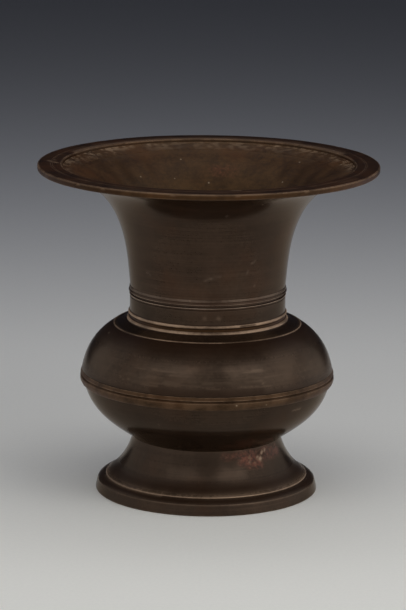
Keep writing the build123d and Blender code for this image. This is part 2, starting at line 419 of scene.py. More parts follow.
def by_height(lowest, *steps):
    """A strength by height: the lowest one, then for each step the height it starts at and its strength."""
    heights = [height for height, _ in steps]
    strengths = np.array([lowest] + [strength for _, strength in steps])
    return lambda r, z: strengths[np.searchsorted(heights, z)]


sample = np.linspace(0, 2 * math.pi, 2000)
sample_swell = swell(sample, 50 + 0 * sample, 0 * sample, 20.0, seed=1)
print("a swell of 20 mm spans", [round(float(s), 2) for s in (sample_swell.min(), sample_swell.max())])

# %% [markdown]
# Before a piece is turned, its dressing is worked out at every vertex. Swells, ridges, dents and grit move
# the vertex a little along its normal, mostly inwards, so that the piece stays within its true size. The
# mesh also keeps values for the materials: worn and filled, the length along the section for the lathe
# lines, and one value for each kind of mark.

# %% Dress the rings of a piece
full_depth = 0.05
grain_gap = 0.55
on_axis = 0.01


def rings_of(section, reach, finest, coarsest, closed):
    """The mesh's rings: their places along the rubbed section, and what the section is like there."""
    soft, outward, moved = rubbed(section, reach, closed)
    places, along = chosen_steps(soft, finest, coarsest, closed)
    source, period = (along[:-1], along[-1]) if closed else (along, None)
    known = np.column_stack([soft, outward, moved]).T
    r, z, normal_r, normal_z, shift = [np.interp(places, source, values, period=period) for values in known]
    return SimpleNamespace(
        places=places, share=places / along[-1], r=r, z=z, normal_r=normal_r, normal_z=normal_z, shift=shift)


def dressed(rings, theta, wear=1.0, grime=1.0, rub=0.0, soil=0.0, swells=(), ridges=None, marks=(),
            grit=None):
    """What the finishes need to know at each vertex, and how far it rises along its normal.

    wear, grime, rub and the painted shade are numbers or functions of radius and height. swells are (size,
    depth, seed), ridges is (pitch, depth), marks are (kind, start, end, width, strength, depth), and grit is
    (where, size, height, seed), in which where gives the film and the crust at each vertex.
    """
    def spread(values):
        return np.repeat(values[:, None], theta.shape[1], 1)

    def here(value):
        return value(rings.r, rings.z) if callable(value) else value + 0 * rings.r

    r, z, length = spread(rings.r), spread(rings.z), spread(rings.places)
    worn = here(rub) + here(wear) * np.clip(-rings.shift / full_depth, 0, 1)
    filled = here(grime) * np.clip(rings.shift / full_depth, 0, 1)
    layers = {
        "worn": np.clip(spread(worn), 0, 1),
        "filled": np.clip(spread(filled), 0, 1),
        "along": length,
        "soiled": spread(here(soil)),
    }
    rise = np.zeros_like(r)
    for size, depth, seed in swells:
        rise -= depth * (1 + swell(theta, r, z, size, seed)) / 2
    if ridges:
        pitch, depth = ridges
        rise -= depth * (1 + np.sin(2 * math.pi * length / pitch)) / 2
    for kind, start, end, width, strength, depth in marks:
        touched = stroke(theta, r, z, start, end, width)
        layers[kind] = np.maximum(layers.get(kind, 0), strength * touched)
        rise -= depth * touched
    layers["worn"] = layers["worn"] * (1 - layers["soiled"])
    if grit:
        where, size, grain_height, seed = grit
        grains = np.clip((swell(theta, r, z, size, seed) - grain_gap) / (1 - grain_gap), 0, 1)
        film, crust = where(theta, r, z)
        layers["gritty"] = np.maximum(film, crust * grains)
        rise += grain_height * crust * grains
    return layers, rise * (r > on_axis)


print("a corner is fully worn or filled at a depth of", full_depth, "mm")

# %% [markdown]
# The lathe itself: rings of vertices joined by quads. A map of the unrolled surface goes with the mesh,
# because an unrolled turning has no seams but the one at the back. Spinning an edge by hand in Edit Mode
# gives the same body, but here the spacing of the rings follows the bends, so the fine beads get most of
# the faces.

# %% Turn a piece on the lathe
seam_angle = 90.0
# In metres, like the mesh
pole_radius = 1e-7


def ring_mesh(name, points, share, closed):
    """Quads between neighbouring rings, with the map of the unrolled surface."""
    rings, segments = points.shape[:2]
    strips = np.arange(rings if closed else rings - 1)
    i, j = [a.ravel() for a in np.meshgrid(strips, np.arange(segments), indexing="ij")]
    next_i, next_j = (i + 1) % rings, (j + 1) % segments
    corners = ((i, j), (i, next_j), (next_i, next_j), (next_i, j))
    quads = np.column_stack([row * segments + column for row, column in corners])
    mesh = bpy.data.meshes.new(name)
    mesh.from_pydata(points.reshape(-1, 3).tolist(), [], quads.tolist())
    mesh.polygons.foreach_set("use_smooth", np.ones(len(quads), bool))
    u, next_u = j / segments, (j + 1) / segments
    v, next_v = share[i], np.append(share, 1.0)[i + 1]
    flat = np.column_stack([u, v, next_u, v, next_u, next_v, u, next_v])
    unrolled = mesh.uv_layers.new(name="OFBake")
    unrolled.data.foreach_set("uv", flat.astype(np.float32).ravel())
    return mesh


def close_poles(mesh):
    """Joins the vertices of a ring that has shrunk to the axis."""
    build = bmesh.new()
    build.from_mesh(mesh)
    on_poles = [v for v in build.verts if v.co.xy.length < pole_radius]
    bmesh.ops.remove_doubles(build, verts=on_poles, dist=pole_radius)
    build.to_mesh(mesh)
    build.free()


def turn_piece(name, section, finishes, segments=400, reach=0.25, finest=0.16, coarsest=0.9, closed=True,
               inside=None, **dressing):
    """Makes the solid of revolution of a half section, drawn anticlockwise, as one closed mesh.

    inside gives each strip's finish from its radius, height and normal, and dressing goes to the rings.
    """
    rings = rings_of(section, reach, finest, coarsest, closed)
    angles = math.radians(seam_angle) + 2 * math.pi * np.arange(segments) / segments
    theta = np.repeat(angles[None, :], len(rings.places), 0)
    layers, rise = dressed(rings, theta, **dressing)
    r = rings.r[:, None] + rise * rings.normal_r[:, None]
    z = rings.z[:, None] + rise * rings.normal_z[:, None]
    points = np.stack([r * np.cos(theta), r * np.sin(theta), z], axis=2) * METRES
    mesh = ring_mesh(name, points, rings.share, closed)
    for key, value in layers.items():
        layer = mesh.attributes.new(key, "FLOAT", "POINT")
        layer.data.foreach_set("value", value.astype(np.float32).ravel())
    for material in finishes:
        mesh.materials.append(material)
    if inside:
        known = (rings.r, rings.z, rings.normal_r, rings.normal_z)
        strips = np.asarray(inside(*[(values + np.roll(values, -1)) / 2 for values in known]), np.int32)
        mesh.polygons.foreach_set("material_index", np.repeat(strips, segments)[:len(mesh.polygons)])
    if not closed:
        close_poles(mesh)
    mesh.update()
    piece = bpy.data.objects.new(name, mesh)
    bpy.context.scene.collection.objects.link(piece)
    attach(piece, "root")
    print(f"{name}: {len(rings.places)} rings of {segments}, {len(mesh.polygons)} faces")
    return piece


# %% [markdown]
# Brown patinated bronze, turned, coloured and waxed. The brown skin is thin and grown from the metal
# itself, so it mirrors its surroundings in brown, as a dark metal does, and goes silvery only where it is
# seen edge on. It could be painted as a plain brown varnish, but that would mirror the pale floor in grey,
# so the shader is mostly metal with a share of matt brown. First come the patterns that all its coats are
# made of.

# %% Patterns of the bronze skin
fleck_size = 1.7
blotch_size = 24.0
# In metres, so that the stains fall elsewhere than the clouds
blotch_shift = (0.31, 0.17, 0.53)
rust_grain = 1.8
# The tool's feed was about 0.2 mm, too fine to show, so its lines are drawn 0.8 mm apart
feed_pitch = 0.8
feed_stretch = 60.0
kept_values = ("worn", "filled", "along", "scuffed", "soiled", "corroded", "gritty")


def patterns(add, clouds):
    """What every coat can see: the values that the mesh keeps, the place, and noises by name."""
    seen = {key: add("Attribute", attribute_name=key).outputs["Fac"] for key in kept_values}
    place = add("TexCoord").outputs["Object"]
    apart = add("VectorMath", {0: place, 1: blotch_shift}, operation="ADD")
    across = add("Math", {0: seen["along"], 1: 1 / feed_pitch}, operation="MULTIPLY")
    round_way = add("VectorMath", {0: place, "Scale": scale_of(feed_stretch)}, operation="SCALE")
    parts = add("SeparateXYZ", {0: round_way})
    lines = add("CombineXYZ", {"X": across, "Y": parts.outputs["X"], "Z": parts.outputs["Y"]})
    noises = (
        ("cloud", place, scale_of(clouds), 3.0, 0.5),
        ("fleck", place, scale_of(fleck_size), 4.0, 0.65),
        ("blotch", apart, scale_of(blotch_size), 5.0, 0.6),
        ("grain", place, scale_of(rust_grain), 3.0, 0.6),
        ("feed", lines, 1.0, 2.0, 0.5),
    )
    for key, where, scale, detail, rough in noises:
        seen[key] = add("TexNoise", {"Vector": where, "Scale": scale, "Detail": detail, "Roughness": rough})
    return seen | {"place": place}


print("flecks", fleck_size, "mm, stains", blotch_size, "mm, lathe lines", feed_pitch, "mm apart")

# %% [markdown]
# Three coats tell the vessel's age. Corrosion is red oxide with a ragged edge and grey-green grains in it.
# Dirt lies in the corners, and the same dark coat is painted shade in a few places. Bare metal shows on the
# edges, where the flecks break it up, and in scuffs, and its pale streaks on the belly are partly painted
# highlight.
# The third is a few pale specks of lime. Each could be a painted image, but values kept on the mesh follow
# its real edges.

# %% Coats of age
speck_cell = 2.6


def corrosion(add, seen):
    """A patch of red oxide with a ragged edge, the oxide's colour, and the grains in it."""
    ragged = add("Math", {0: seen["corroded"], 1: seen["grain"]}, operation="MULTIPLY")
    patch = add("MapRange", {"Value": ragged, "From Min": 0.1, "From Max": 0.56, "To Max": 0.95})
    red = add("MapRange", {"Value": seen["fleck"], "From Min": 0.38, "From Max": 0.55})
    oxide = add("Mix", {"Factor": red, "A": linear("#351b13"), "B": linear("#6c382b")}, data_type="RGBA")
    green = add("MapRange", {"Value": seen["fleck"], "From Min": 0.54, "From Max": 0.66, "To Max": 0.55})
    return patch, oxide, add("Math", {0: green, 1: patch}, operation="MULTIPLY")


def dirt_shade_and_bare(add, seen):
    """Dirt in corners and dark marks, partly painted shade, and bare metal on edges, in scuffs and in grit,
    partly painted highlight.
    """
    dirt_and_shade = add("Math", {0: seen["filled"], 1: seen["soiled"]}, operation="MAXIMUM")
    patchy = add("Math", {0: seen["fleck"], 1: 0.35, 2: seen["cloud"]}, operation="MULTIPLY_ADD")
    rubbing = add("MapRange", {
        "Value": patchy, "From Min": 0.5, "From Max": 0.8, "To Min": 0.35, "To Max": 1.2})
    edges = add("Math", {0: seen["worn"], 1: rubbing}, operation="MULTIPLY")
    scraped_and_glinting = add("Math", {0: seen["scuffed"], 1: seen["gritty"]}, operation="MAXIMUM")
    return dirt_and_shade, add("Math", {0: edges, 1: scraped_and_glinting}, operation="MAXIMUM")


def lime(add, seen, specks):
    """Pale specks in this share of the cells of a pattern."""
    cells = add("TexVoronoi", {"Vector": seen["place"], "Scale": scale_of(speck_cell)})
    chance = add("SeparateColor", {"Color": cells.outputs["Color"]})
    picked = add("Math", {0: chance.outputs["Red"], 1: specks}, operation="LESS_THAN")
    spot = add("MapRange", {
        "Value": cells.outputs["Distance"], "From Min": 0.2, "From Max": 0.1, "To Max": 0.8})
    return add("Math", {0: picked, 1: spot}, operation="MULTIPLY")


print("corrosion grains", rust_grain, "mm, lime in cells of", speck_cell, "mm")

# %% [markdown]
# All coats together make one finish, laid one over the other on a deep brown. Dirt with its painted shade,
# corrosion, lime and bare metal are duller than the waxed skin. The lathe lines and flecks are a hundredth of
# a millimetre deep, so they are relief in the shader, not the mesh. One function serves the outside, the
# inside and the solder, which differ in their colours and their share of metal.

# %% Bronze finishes
ridge_depth = 0.02
fleck_depth = 0.016


def bronze_finish(name, deep, body, stain, bare, metallic, rough, clouds, lines, blotches, specks,
                  wax="#ead8c4", mottle=0.45):
    """A bronze skin: deep brown under body tones, stains, oxide and its grains, grime and painted shade, bare
    metal and lime.
    """
    material, add = new_material(name)
    seen = patterns(add, clouds)
    tone = add("Math", {0: seen["cloud"], 1: seen["fleck"]}, operation="ADD")
    tone = add("Math", {0: seen["feed"], 1: lines, 2: tone}, operation="MULTIPLY_ADD")
    middle = 1.0 + lines / 2
    tone = add("MapRange", {"Value": tone, "From Min": middle - mottle, "From Max": middle + mottle})
    stains = add("MapRange", {"Value": seen["blotch"], "From Min": 0.5, "From Max": 0.75, "To Max": blotches})
    patch, oxide, green = corrosion(add, seen)
    dirt_and_shade, bright = dirt_shade_and_bare(add, seen)
    speck = lime(add, seen, specks)
    # The dark grime colour also lays painted shade, and the bare colour lays the painted highlight of the
    # belly's streaks
    coats = (
        (tone, linear(body)), (stains, linear(stain)), (patch, oxide), (green, linear("#6b634b")),
        (dirt_and_shade, linear("#24150c")), (bright, linear(bare)), (speck, linear("#8b7a66")),
    )
    skin = linear(deep)
    for share, colour in coats:
        skin = add("Mix", {"Factor": share, "A": skin, "B": colour}, data_type="RGBA")
    matt = dirt_and_shade
    for share in (patch, speck, bright):
        matt = add("Math", {0: matt, 1: share}, operation="MAXIMUM")
    dull = add("Math", {0: matt, 1: 0.25, 2: rough}, operation="MULTIPLY_ADD")
    roughness = add("Math", {0: seen["fleck"], 1: 0.1, 2: dull}, operation="MULTIPLY_ADD")
    metal = add("MapRange", {"Value": matt, "To Min": metallic, "To Max": 0.3 * metallic})
    gloss = add("MapRange", {"Value": dirt_and_shade, "To Min": 0.5, "To Max": 0.12})
    ridge = add("Bump", {"Height": seen["feed"], "Strength": 0.5, "Distance": ridge_depth * METRES})
    relief = add("Bump", {
        "Height": seen["fleck"], "Strength": 0.5, "Distance": fleck_depth * METRES, "Normal": ridge})
    shader = add("BsdfPrincipled", {
        "Base Color": skin, "Metallic": metal, "Roughness": roughness, "Normal": relief,
        "Specular IOR Level": gloss, "Specular Tint": linear(wax)})
    add("OutputMaterial", {"Surface": shader})
    return material


turned = dict(rough=0.15, clouds=16.0, lines=1.2, blotches=0.4)
cast = dict(deep="#28170b", body="#412b16", stain="#4f2d12", metallic=0.2, rough=0.48, clouds=9.0,
            blotches=0.6, wax="#dfc3a0", mottle=0.2)
# Warm brown mirror with soft lathe lines: the eye reads waxed metal, dark where it mirrors the vessel itself
bronze = bronze_finish(
    "Brown patinated bronze, turned and waxed", deep="#2d2018", body="#443429", stain="#4a2d1b",
    bare="#958170", metallic=0.6, specks=0.0005, **turned)
# The same skin in a deeper brown: the eye reads a belly and a foot that are heavier than the neck
dark_bronze = bronze_finish(
    "Dark patinated bronze, turned and waxed", deep="#271c14", body="#3c2e24", stain="#422817",
    bare="#a0866f", metallic=0.58, specks=0.004, **turned)
# Reddish, half matt and mottled: the eye reads an edge that hands have dulled for years
handled_bronze = bronze_finish(
    "Red-brown bronze, filed and handled", deep="#180e08", body="#3c2716", stain="#432511", bare="#846d59",
    metallic=0.3, rough=0.3, clouds=7.0, lines=0.6, blotches=0.6, specks=0.01, wax="#dcae80", mottle=0.3)
# Duller and more uneven, with rusty stains and lime: the eye reads metal that was never polished
bronze_inside = bronze_finish(
    "Bronze inside, as cast and stained", bare="#78644f", lines=0.3, specks=0.04, **cast)
# Matt brown with paler grains: the eye reads old solder with lime and dust caught on it
solder = bronze_finish(
    "Soft solder, run and crusted with lime", bare="#86705a", lines=0.0, specks=0.02, **cast)
print("finishes:", [m.name for m in (bronze, dark_bronze, handled_bronze, bronze_inside, solder)])

# %% [markdown]
# The frame already holds every piece at its true size, so the sizes that the pieces share are read from it.
# A node's box gives heights and widest radii, and its vertices at one height give the radii of bores and
# seats.

# %% Sizes read from the frame
def low(node):
    """A node's lowest height."""
    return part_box(node)[0].z / METRES


def high(node):
    """A node's greatest height."""
    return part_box(node)[1].z / METRES


def widest(node):
    """A node's greatest radius."""
    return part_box(node)[1].x / METRES


def radius_at(node, height, outer=True, within=0.02):
    """Largest or smallest radius of a node's vertices at a height."""
    spots = np.array([v.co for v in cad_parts[node].data.vertices]) / METRES
    level = np.hypot(*spots[np.abs(spots[:, 2] - height) < within][:, :2].T)
    return float(level.max() if outer else level.min())


rim_radius, rim_z, top_z = widest("mouth_rim"), low("mouth_rim"), high("mouth_rim")
rim_bore_radius = radius_at("mouth_rim", rim_z, outer=False)
flange_radius = widest("neck")
seat_z = low("mouth_solder")
ledge_z = high("neck")
neck_z, ring_z = high("neck_ring"), low("neck_ring")
spigot_z = low("neck")
throat_radius = radius_at("neck", spigot_z, outer=False)
spigot_radius = radius_at("neck", spigot_z)
neck_radius = radius_at("neck", neck_z)
socket_radius = widest("neck_solder")
collar_radius = radius_at("upper_belly", ring_z)
belly_radius = widest("upper_belly")
seam_z = low("upper_belly")
girdle_bottom, girdle_top = low("belly_girdle"), high("belly_girdle")
seat_radius = radius_at("belly_girdle", girdle_top, outer=False)
belly_bore_radius = widest("belly_solder")
belly_spigot_radius = radius_at("belly_solder", seam_z, outer=False)
foot_radius, waist_z = widest("foot"), high("foot")
waist_radius = radius_at("foot", waist_z)
foot_socket_radius = widest("foot_solder")
tenon_z = low("lower_belly")
tenon_radius = radius_at("lower_belly", tenon_z)
tenon_inner = radius_at("lower_belly", tenon_z, outer=False)
solder_gap = rim_z - seat_z
solder_fillet = high("mouth_solder") - ledge_z
print("lip", rim_radius, "belly", belly_radius, "waist", waist_radius, "foot", foot_radius)
print("neck", neck_radius, "throat", throat_radius, "collar", collar_radius, "seat", seat_radius)

# %% [markdown]
# The lip is a flat ring, turned on its own and soldered onto the neck's flange. It carries one scribed
# line. Its outer edge has met tables and other pots, so it has nicks, and the top has a rubbed patch at the
# left. Nicks could be cut with booleans, but soft strokes into a fine mesh look more like knocks in old
# metal.

# %% Lip ring
rim_edge = 0.4
rim_line_inset = 6.3
rim_line_width = 0.5
rim_line_depth = 0.25
edge_wear = 0.5
line_wear = 0.3
under_wear = 0.15
line_r = rim_radius - rim_line_inset
hidden_start = (rim_bore_radius + flange_radius) / 2
face_z = (rim_z + top_z) / 2
edge_z = top_z - rim_edge
nick_angles = (-141, -48, -37, -12, 9, 33, 71, 128)
lip_marks = strokes("scuffed", [
    ((a, rim_radius, edge_z), (a + 1, rim_radius, edge_z), 0.6, 0.45, 0.25) for a in nick_angles
]) + strokes("scuffed", [
    ((-93, 71.8, top_z), (-91, 70.6, top_z), 1.1, 0.4),
    ((-90, 69.4, top_z), (-88, 67.8, top_z), 0.9, 0.45),
    ((-94.5, 69.8, top_z), (-94, 69.4, top_z), 0.8, 0.35),
    ((8.5, 67.4, top_z), (11.5, 67.4, top_z), 0.5, 0.5),
    ((115, 67.2, top_z), (245, 67.2, top_z), 1.6, 0.4),
    ((-35, 73.6, top_z), (-22, 74.0, top_z), 1.0, 0.12),
    ((52, 73.2, top_z), (61, 73.8, top_z), 1.2, 0.12),
]) + strokes("soiled", [
    ((-66, rim_radius, face_z), (-30, rim_radius, face_z), 1.2, 0.55),
])


def lip_wear(r, z):
    """Cloths reach the upper edge and the bore's edge, less so the scribed line and the lower edge."""
    return np.where(z < rim_z + 1, under_wear, np.where(np.abs(r - line_r) < 1, line_wear, edge_wear))


lip = turn_piece(
    "lip_ring",
    [
        (hidden_start, rim_z), (rim_radius - rim_edge, rim_z), (rim_radius, rim_z + rim_edge),
        (rim_radius, edge_z), (rim_radius - rim_edge, top_z), (line_r + rim_line_width / 2, top_z),
        (line_r, top_z - rim_line_depth), (line_r - rim_line_width / 2, top_z),
        (rim_bore_radius + rim_edge, top_z), (rim_bore_radius, edge_z), (rim_bore_radius, rim_z),
        (hidden_start, rim_z),
    ],
    [handled_bronze], segments=900, coarsest=0.8, wear=lip_wear,
    swells=[(38.0, 0.08, 11), (7.0, 0.02, 12)], marks=lip_marks,
)
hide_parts("mouth_rim")

# %% [markdown]
# The neck is a trumpet: a short stem that flares on one arc to a flange. Outside it was turned and
# polished, inside it was only scraped, so the two sides carry different finishes. A few scratches show bare
# metal outside, and dark runs inside are painted shade at the left and right of the mouth. A surface with a
# solidify modifier could give the wall, but the wall changes at the ledge and the spigot, so both of its
# sides are drawn.

# %% Neck
neck_wall = 2.5
flange_edge = 0.8
ledge_width = 1.8
flare_start_angle = 26.0
stem_spread = 7.0
stem_lean = 0.09
register_radius = rim_bore_radius - solder_gap
under_z = seat_z - flange_edge
flare_cos = math.cos(math.radians(flare_start_angle))
flare_radius = (flange_radius - neck_radius - stem_spread) / flare_cos
flare_centre = (flange_radius, under_z - flare_radius)
inner_radius = flare_radius + neck_wall
ledge_r = register_radius - ledge_width
ledge_turn = math.degrees(math.acos((flange_radius - ledge_r) / inner_radius))
flare = round_about(flare_centre, flare_radius, 180 - flare_start_angle, 90)
flare_inside = round_about(flare_centre, inner_radius, 180 - ledge_turn, 180 - flare_start_angle)
stem_rise = flare[0][1] - neck_z
inner_rise = flare_inside[-1][1] - neck_z
stem_angle = 90 - math.degrees(math.atan(stem_lean))
flare_angle = 90 - flare_start_angle
# At the flare a sweep pulls by a third of its rise, measured along the flare's angle
pull = 1 / (3 * flare_cos)
spigot_start = (spigot_radius, (spigot_z + neck_z) / 2)
neck_section = [
    spigot_start, (spigot_radius, neck_z),
    sweep((neck_radius, neck_z), stem_angle, stem_rise / 3, flare[0], flare_angle, stem_rise * pull),
    flare, (flange_radius, seat_z), (register_radius, seat_z), (register_radius, ledge_z), (ledge_r, ledge_z),
    flare_inside,
    sweep(flare_inside[-1], flare_angle - 180, inner_rise * pull,
          (throat_radius, neck_z), -90, inner_rise / 3),
    (throat_radius, spigot_z), (spigot_radius, spigot_z), spigot_start,
]
run_top, dusty, run_end = [flare_inside[round(drop / fine_step)] for drop in (3, 6, 20)]
# Painted shade on the inner wall: each run is its degrees right of the front, its half width and its strength
painted_shade_runs = (
    (-129, 4, 0.5), (-117, 4, 0.5), (-146, 2.5, 0.25), (108, 4, 0.45), (121, 5, 0.45), (134, 3, 0.3))
neck_marks = strokes("soiled", [
    ((a, *run_top), (a, *run_end), width, strength) for a, width, strength in painted_shade_runs
]) + strokes("corroded", [
    ((166, *run_end), (176, *run_end), 5.0, 0.4),
]) + strokes("scuffed", [
    ((125, *dusty), (235, *dusty), 3.5, 0.1),
    ((-49.5, 36.1, 105.1), (-45.5, 36.0, 103.9), 0.4, 0.13, 0.03),
    ((-2, 36.0, 103.9), (3, 36.0, 104.9), 0.4, 0.17, 0.03),
    ((3, 36.0, 104.9), (9, 36.1, 105.6), 0.4, 0.08, 0.02),
    ((31.5, 36.9, 110.8), (34.2, 37.0, 111.6), 0.4, 0.18, 0.03),
    ((28.2, 36.3, 106.0), (29.3, 36.4, 107.6), 0.4, 0.13, 0.03),
    ((35.4, 35.6, 100.3), (35.6, 35.6, 100.5), 0.5, 0.18, 0.03),
    ((9.7, 46.4, 134.6), (9.9, 46.5, 134.7), 0.5, 0.28, 0.02),
])


def neck_finish(r, z, normal_r, normal_z):
    """As cast inside and on the ledge, polished elsewhere."""
    return (r < rim_bore_radius) & ((normal_r < 0) | (z > seat_z))


# Cloths rub the flange's edge but not the seam above the neck ring
neck = turn_piece(
    "trumpet_neck", neck_section, [bronze, bronze_inside], inside=neck_finish,
    wear=by_height(0.0, (neck_z + 1, 0.6)), grime=0.2,
    swells=[(30.0, 0.05, 21), (9.0, 0.015, 22)], ridges=(3.1, 0.006), marks=neck_marks,
)
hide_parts("neck")

# %% [markdown]
# The solder that holds the lip ring has crept out over the ledge inside the mouth and a little way down the
# flare, and gathered lime and dust. It is real relief, so it is built as grains on a thin skin that follows
# the neck. The grains gather in stretches: along the left, along the right, and in a few spots at the back.
# A scatter of small stones could stand for them, but a crust grows out of the metal and has no underside.

# %% Mouth solder
crust_skin = 0.04
crust_drop = 6.0
grain_fade = 1.3
film_fade = 1.7
line_fade = 0.5
line_lime = 0.75
cluster_size = 3.4
back_lime = 0.36
back_spread = 55.0
shown_radius = rim_bore_radius - 0.01
# Each stretch is its middle in degrees right of the front, its spread and its strength
crust_stretches = (
    (-124, 22, 1.0), (154, 5, 1.2), (-158, 12, 0.5), (180, 10, 0.4), (104, 16, 0.55), (132, 12, 0.4))
crust_turn = ledge_turn - math.degrees(crust_drop / inner_radius)
crust_top = round_about(flare_centre, inner_radius + crust_skin, 180 - ledge_turn, 180 - crust_turn)
crust_under = round_about(flare_centre, inner_radius - crust_skin, 180 - crust_turn, 180 - ledge_turn)


def mouth_crust(theta, r, z):
    """How thickly the lime lies: a film on the ledge and at the back, and grains in a few stretches."""
    drop = np.maximum(ledge_z - z, 0)
    broken = 0.7 * swell(theta, r, z, cluster_size, 33) + 0.4 * swell(theta, r, z, 4 * cluster_size, 34)
    ragged = np.clip(0.35 + broken, 0, 1)
    stretch = 0 * r
    for middle, spread, strength in crust_stretches:
        stretch = np.maximum(stretch, strength * bell(right_of(theta, middle), spread))
    back = bell(right_of(theta, 180), back_spread) * bell(drop, film_fade)
    film = back_lime * (0.4 + 0.8 * ragged) * back
    line = line_lime * ragged * (0.3 + 0.7 * stretch) * bell(drop, line_fade)
    grains = stretch * ragged * bell(drop, grain_fade)
    return np.maximum(film, line) * (r < shown_radius), grains * (r < shown_radius)


mouth_solder = turn_piece(
    "mouth_solder_crust",
    [
        (register_radius, seat_z), (flange_radius, seat_z), (flange_radius, rim_z), (rim_bore_radius, rim_z),
        (rim_bore_radius, ledge_z + solder_fillet), (register_radius - solder_fillet, ledge_z + crust_skin),
        crust_top, crust_under, (ledge_r, ledge_z), (register_radius, ledge_z), (register_radius, seat_z),
    ],
    [solder], segments=880, reach=0.0, finest=0.12,
    coarsest=lambda r, z: np.where(r < shown_radius, 0.25, 1.5),
    wear=0.0, grime=0.0, grit=(mouth_crust, 1.0, 0.25, 32),
)
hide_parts("mouth_solder")

# %% [markdown]
# A loose ring sits on the neck's spigot and is trapped when the neck is soldered in. It gives the broad
# bead and the fine line below the neck. A bead is the first thing that a polishing cloth meets, so its
# crest is worn. Its top runs out in a feather edge over the seam, which makes the joint nearly vanish. It
# could be cut into the neck's own section, but then the seam below it would be missing.

# %% Neck ring
bead_proud = 0.7
bead_width = 2.2
bead_nose_rise = 0.3
fine_line_proud = 0.25
fine_line_width = 0.4
ring_step = 0.15
line_rise = 0.65
feather_rise = 0.5
feather_edge = 0.03
feather_rub = 0.2
scribe_rise = 0.9
scribe_width = 0.45
scribe_depth = 0.22
ring_groove_depth = 0.6
groove_radius = neck_radius - ring_groove_depth
bead_bottom = neck_z - ring_step - bead_width
bead_nose = (neck_radius + bead_proud, bead_bottom + bead_nose_rise)
line_bottom = (collar_radius, ring_z + line_rise)
line_top = (collar_radius, line_bottom[1] + fine_line_width)
feather = (neck_radius + feather_edge + stem_lean * feather_rise, neck_z + feather_rise)
bead_way = (np.array(feather) - bead_nose) / (feather[1] - bead_nose[1])
scribe_low, scribe_deep, scribe_high = [
    tuple(np.array(bead_nose) + bead_way * (scribe_rise + share * scribe_width) - (depth, 0))
    for share, depth in ((0, 0), (0.5, scribe_depth), (1, 0))
]
ring_start = (socket_radius, (neck_z + ring_z) / 2)


def ring_rub(r, z):
    """A faint rubbed band between the feather edge and the scribed line."""
    return np.where((z > scribe_high[1] + 0.1) & (r > neck_radius), feather_rub, 0.0)


# The fine line is prouder than half its width, so its bead stands on two corners. It is rubbed, like the
# broad bead's lower edge, and dirt fills the groove and the scribed line
neck_ring = turn_piece(
    "neck_bead_ring",
    [
        ring_start, (socket_radius, ring_z), (collar_radius, ring_z),
        line_bottom, bead(line_bottom, line_top, fine_line_proud), line_top,
        (groove_radius, line_top[1] + ring_step), (groove_radius, bead_bottom), bead_nose,
        scribe_low, scribe_deep, scribe_high, feather, (feather[0] - feather_edge / 2, feather[1]),
        (neck_radius + feather_edge / 2, neck_z), (socket_radius, neck_z), ring_start,
    ],
    [bronze], segments=480, reach=0.12, finest=0.1, coarsest=0.5,
    wear=by_height(0.0, (line_bottom[1] + 0.05, 2.4), (bead_nose[1] + 0.5, 0.0)),
    grime=by_height(2.0, (scribe_high[1] + 0.2, 0.0)), rub=ring_rub, swells=[(8.0, 0.03, 41)],
)
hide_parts("neck_ring")

# %% [markdown]
# The upper belly is a turned dome with a collar. Two mouldings and a fine line step down from the collar to
# the dome. The section is drawn from the collar's top outwards and down, and reversed for the lathe. A
# sphere would come close, but the dome is flatter at its shoulder.

# %% Section of the upper belly
shoulder_radius = 42.6
shoulder_z = 77.1
collar_z = 83.2
lower_top = 80.5
upper_moulding_proud = 0.75
lower_moulding_proud = 1.35
lower_nose_rise = 0.5
lower_roll = 0.2
moulding_width = 1.5
shoulder_line_width = 0.9
shoulder_line_proud = 0.25
shoulder_slope = 30.7
dome_edge_slope = 80.0
inner_shoulder_slope = 15.4
belly_wall = 2.8
dome_height = shoulder_z - seam_z
dome_shoulder_pull = 0.46 * dome_height
dome_edge_pull = 0.34 * dome_height
inner_dome_pull = 0.43 * dome_height
upper_bottom = collar_z - moulding_width
lower_bottom = lower_top - moulding_width
lower_nose = (collar_radius + lower_moulding_proud, lower_bottom + lower_nose_rise)
shelf_top = (lower_nose[0] - lower_nose_rise / 2, lower_bottom)
shelf_end = (shoulder_radius - shoulder_line_width, shoulder_z)
dome_start = (shoulder_radius, shoulder_z - shoulder_line_proud)
dome_end = (belly_radius, girdle_top)
bore_top = (belly_bore_radius, girdle_top + belly_wall)
bore_end = (socket_radius, shoulder_z)
socket_start = (socket_radius, shoulder_z + 1)
upper_section = [
    socket_start, (socket_radius, ring_z), (collar_radius, ring_z),
    bead((collar_radius, collar_z), (collar_radius, upper_bottom), -upper_moulding_proud),
    bead((collar_radius, lower_top), lower_nose, -lower_roll),
    bead(shelf_top, shelf_end, shoulder_line_proud),
    bead(shelf_end, dome_start, -shoulder_line_proud),
    sweep(dome_start, -shoulder_slope, dome_shoulder_pull, dome_end, -dome_edge_slope, dome_edge_pull),
    (seat_radius, girdle_top), (seat_radius, seam_z), (belly_bore_radius, seam_z),
    sweep(bore_top, 90, inner_dome_pull, bore_end, 180 - inner_shoulder_slope, inner_dome_pull),
    socket_start,
]
print("dome", round(dome_height, 1), "mm high over the seam")

# %% [markdown]
# One stretch of the upper moulding was knocked flat, and faint pale streaks across the front are partly
# wiping marks and partly painted highlight. Cloths reach every moulding but not the seams above and below.
# Shade is painted on the shoulder under the mouldings and in the corner above the girdle, most of all at the
# front.

# %% Upper belly
# Painted shade above the girdle and on the shoulder under the mouldings
corner_shade = 0.45
corner_reach = 4.0
corner_z = girdle_top + 1.5
shoulder_shade = 0.85
shoulder_reach = 6.5
shoulder_line_rub = 0.1
# Pale streaks across the front: partly wiping scratches, partly painted highlight
streaks = 60
streak_r = 54.3
streak_z = 64.3
streak_angles = (-40, 28)
streak_lengths = (4, 14)
streak_and_glint_strengths = (0.06, 0.13)
pit_places = ((-44, 55.6, 61.4), (-42, 55.8, 60.5), (-39, 55.6, 61.2), (26, 55.7, 60.9), (61, 56.8, 56.5))
dice = np.random.default_rng(53)
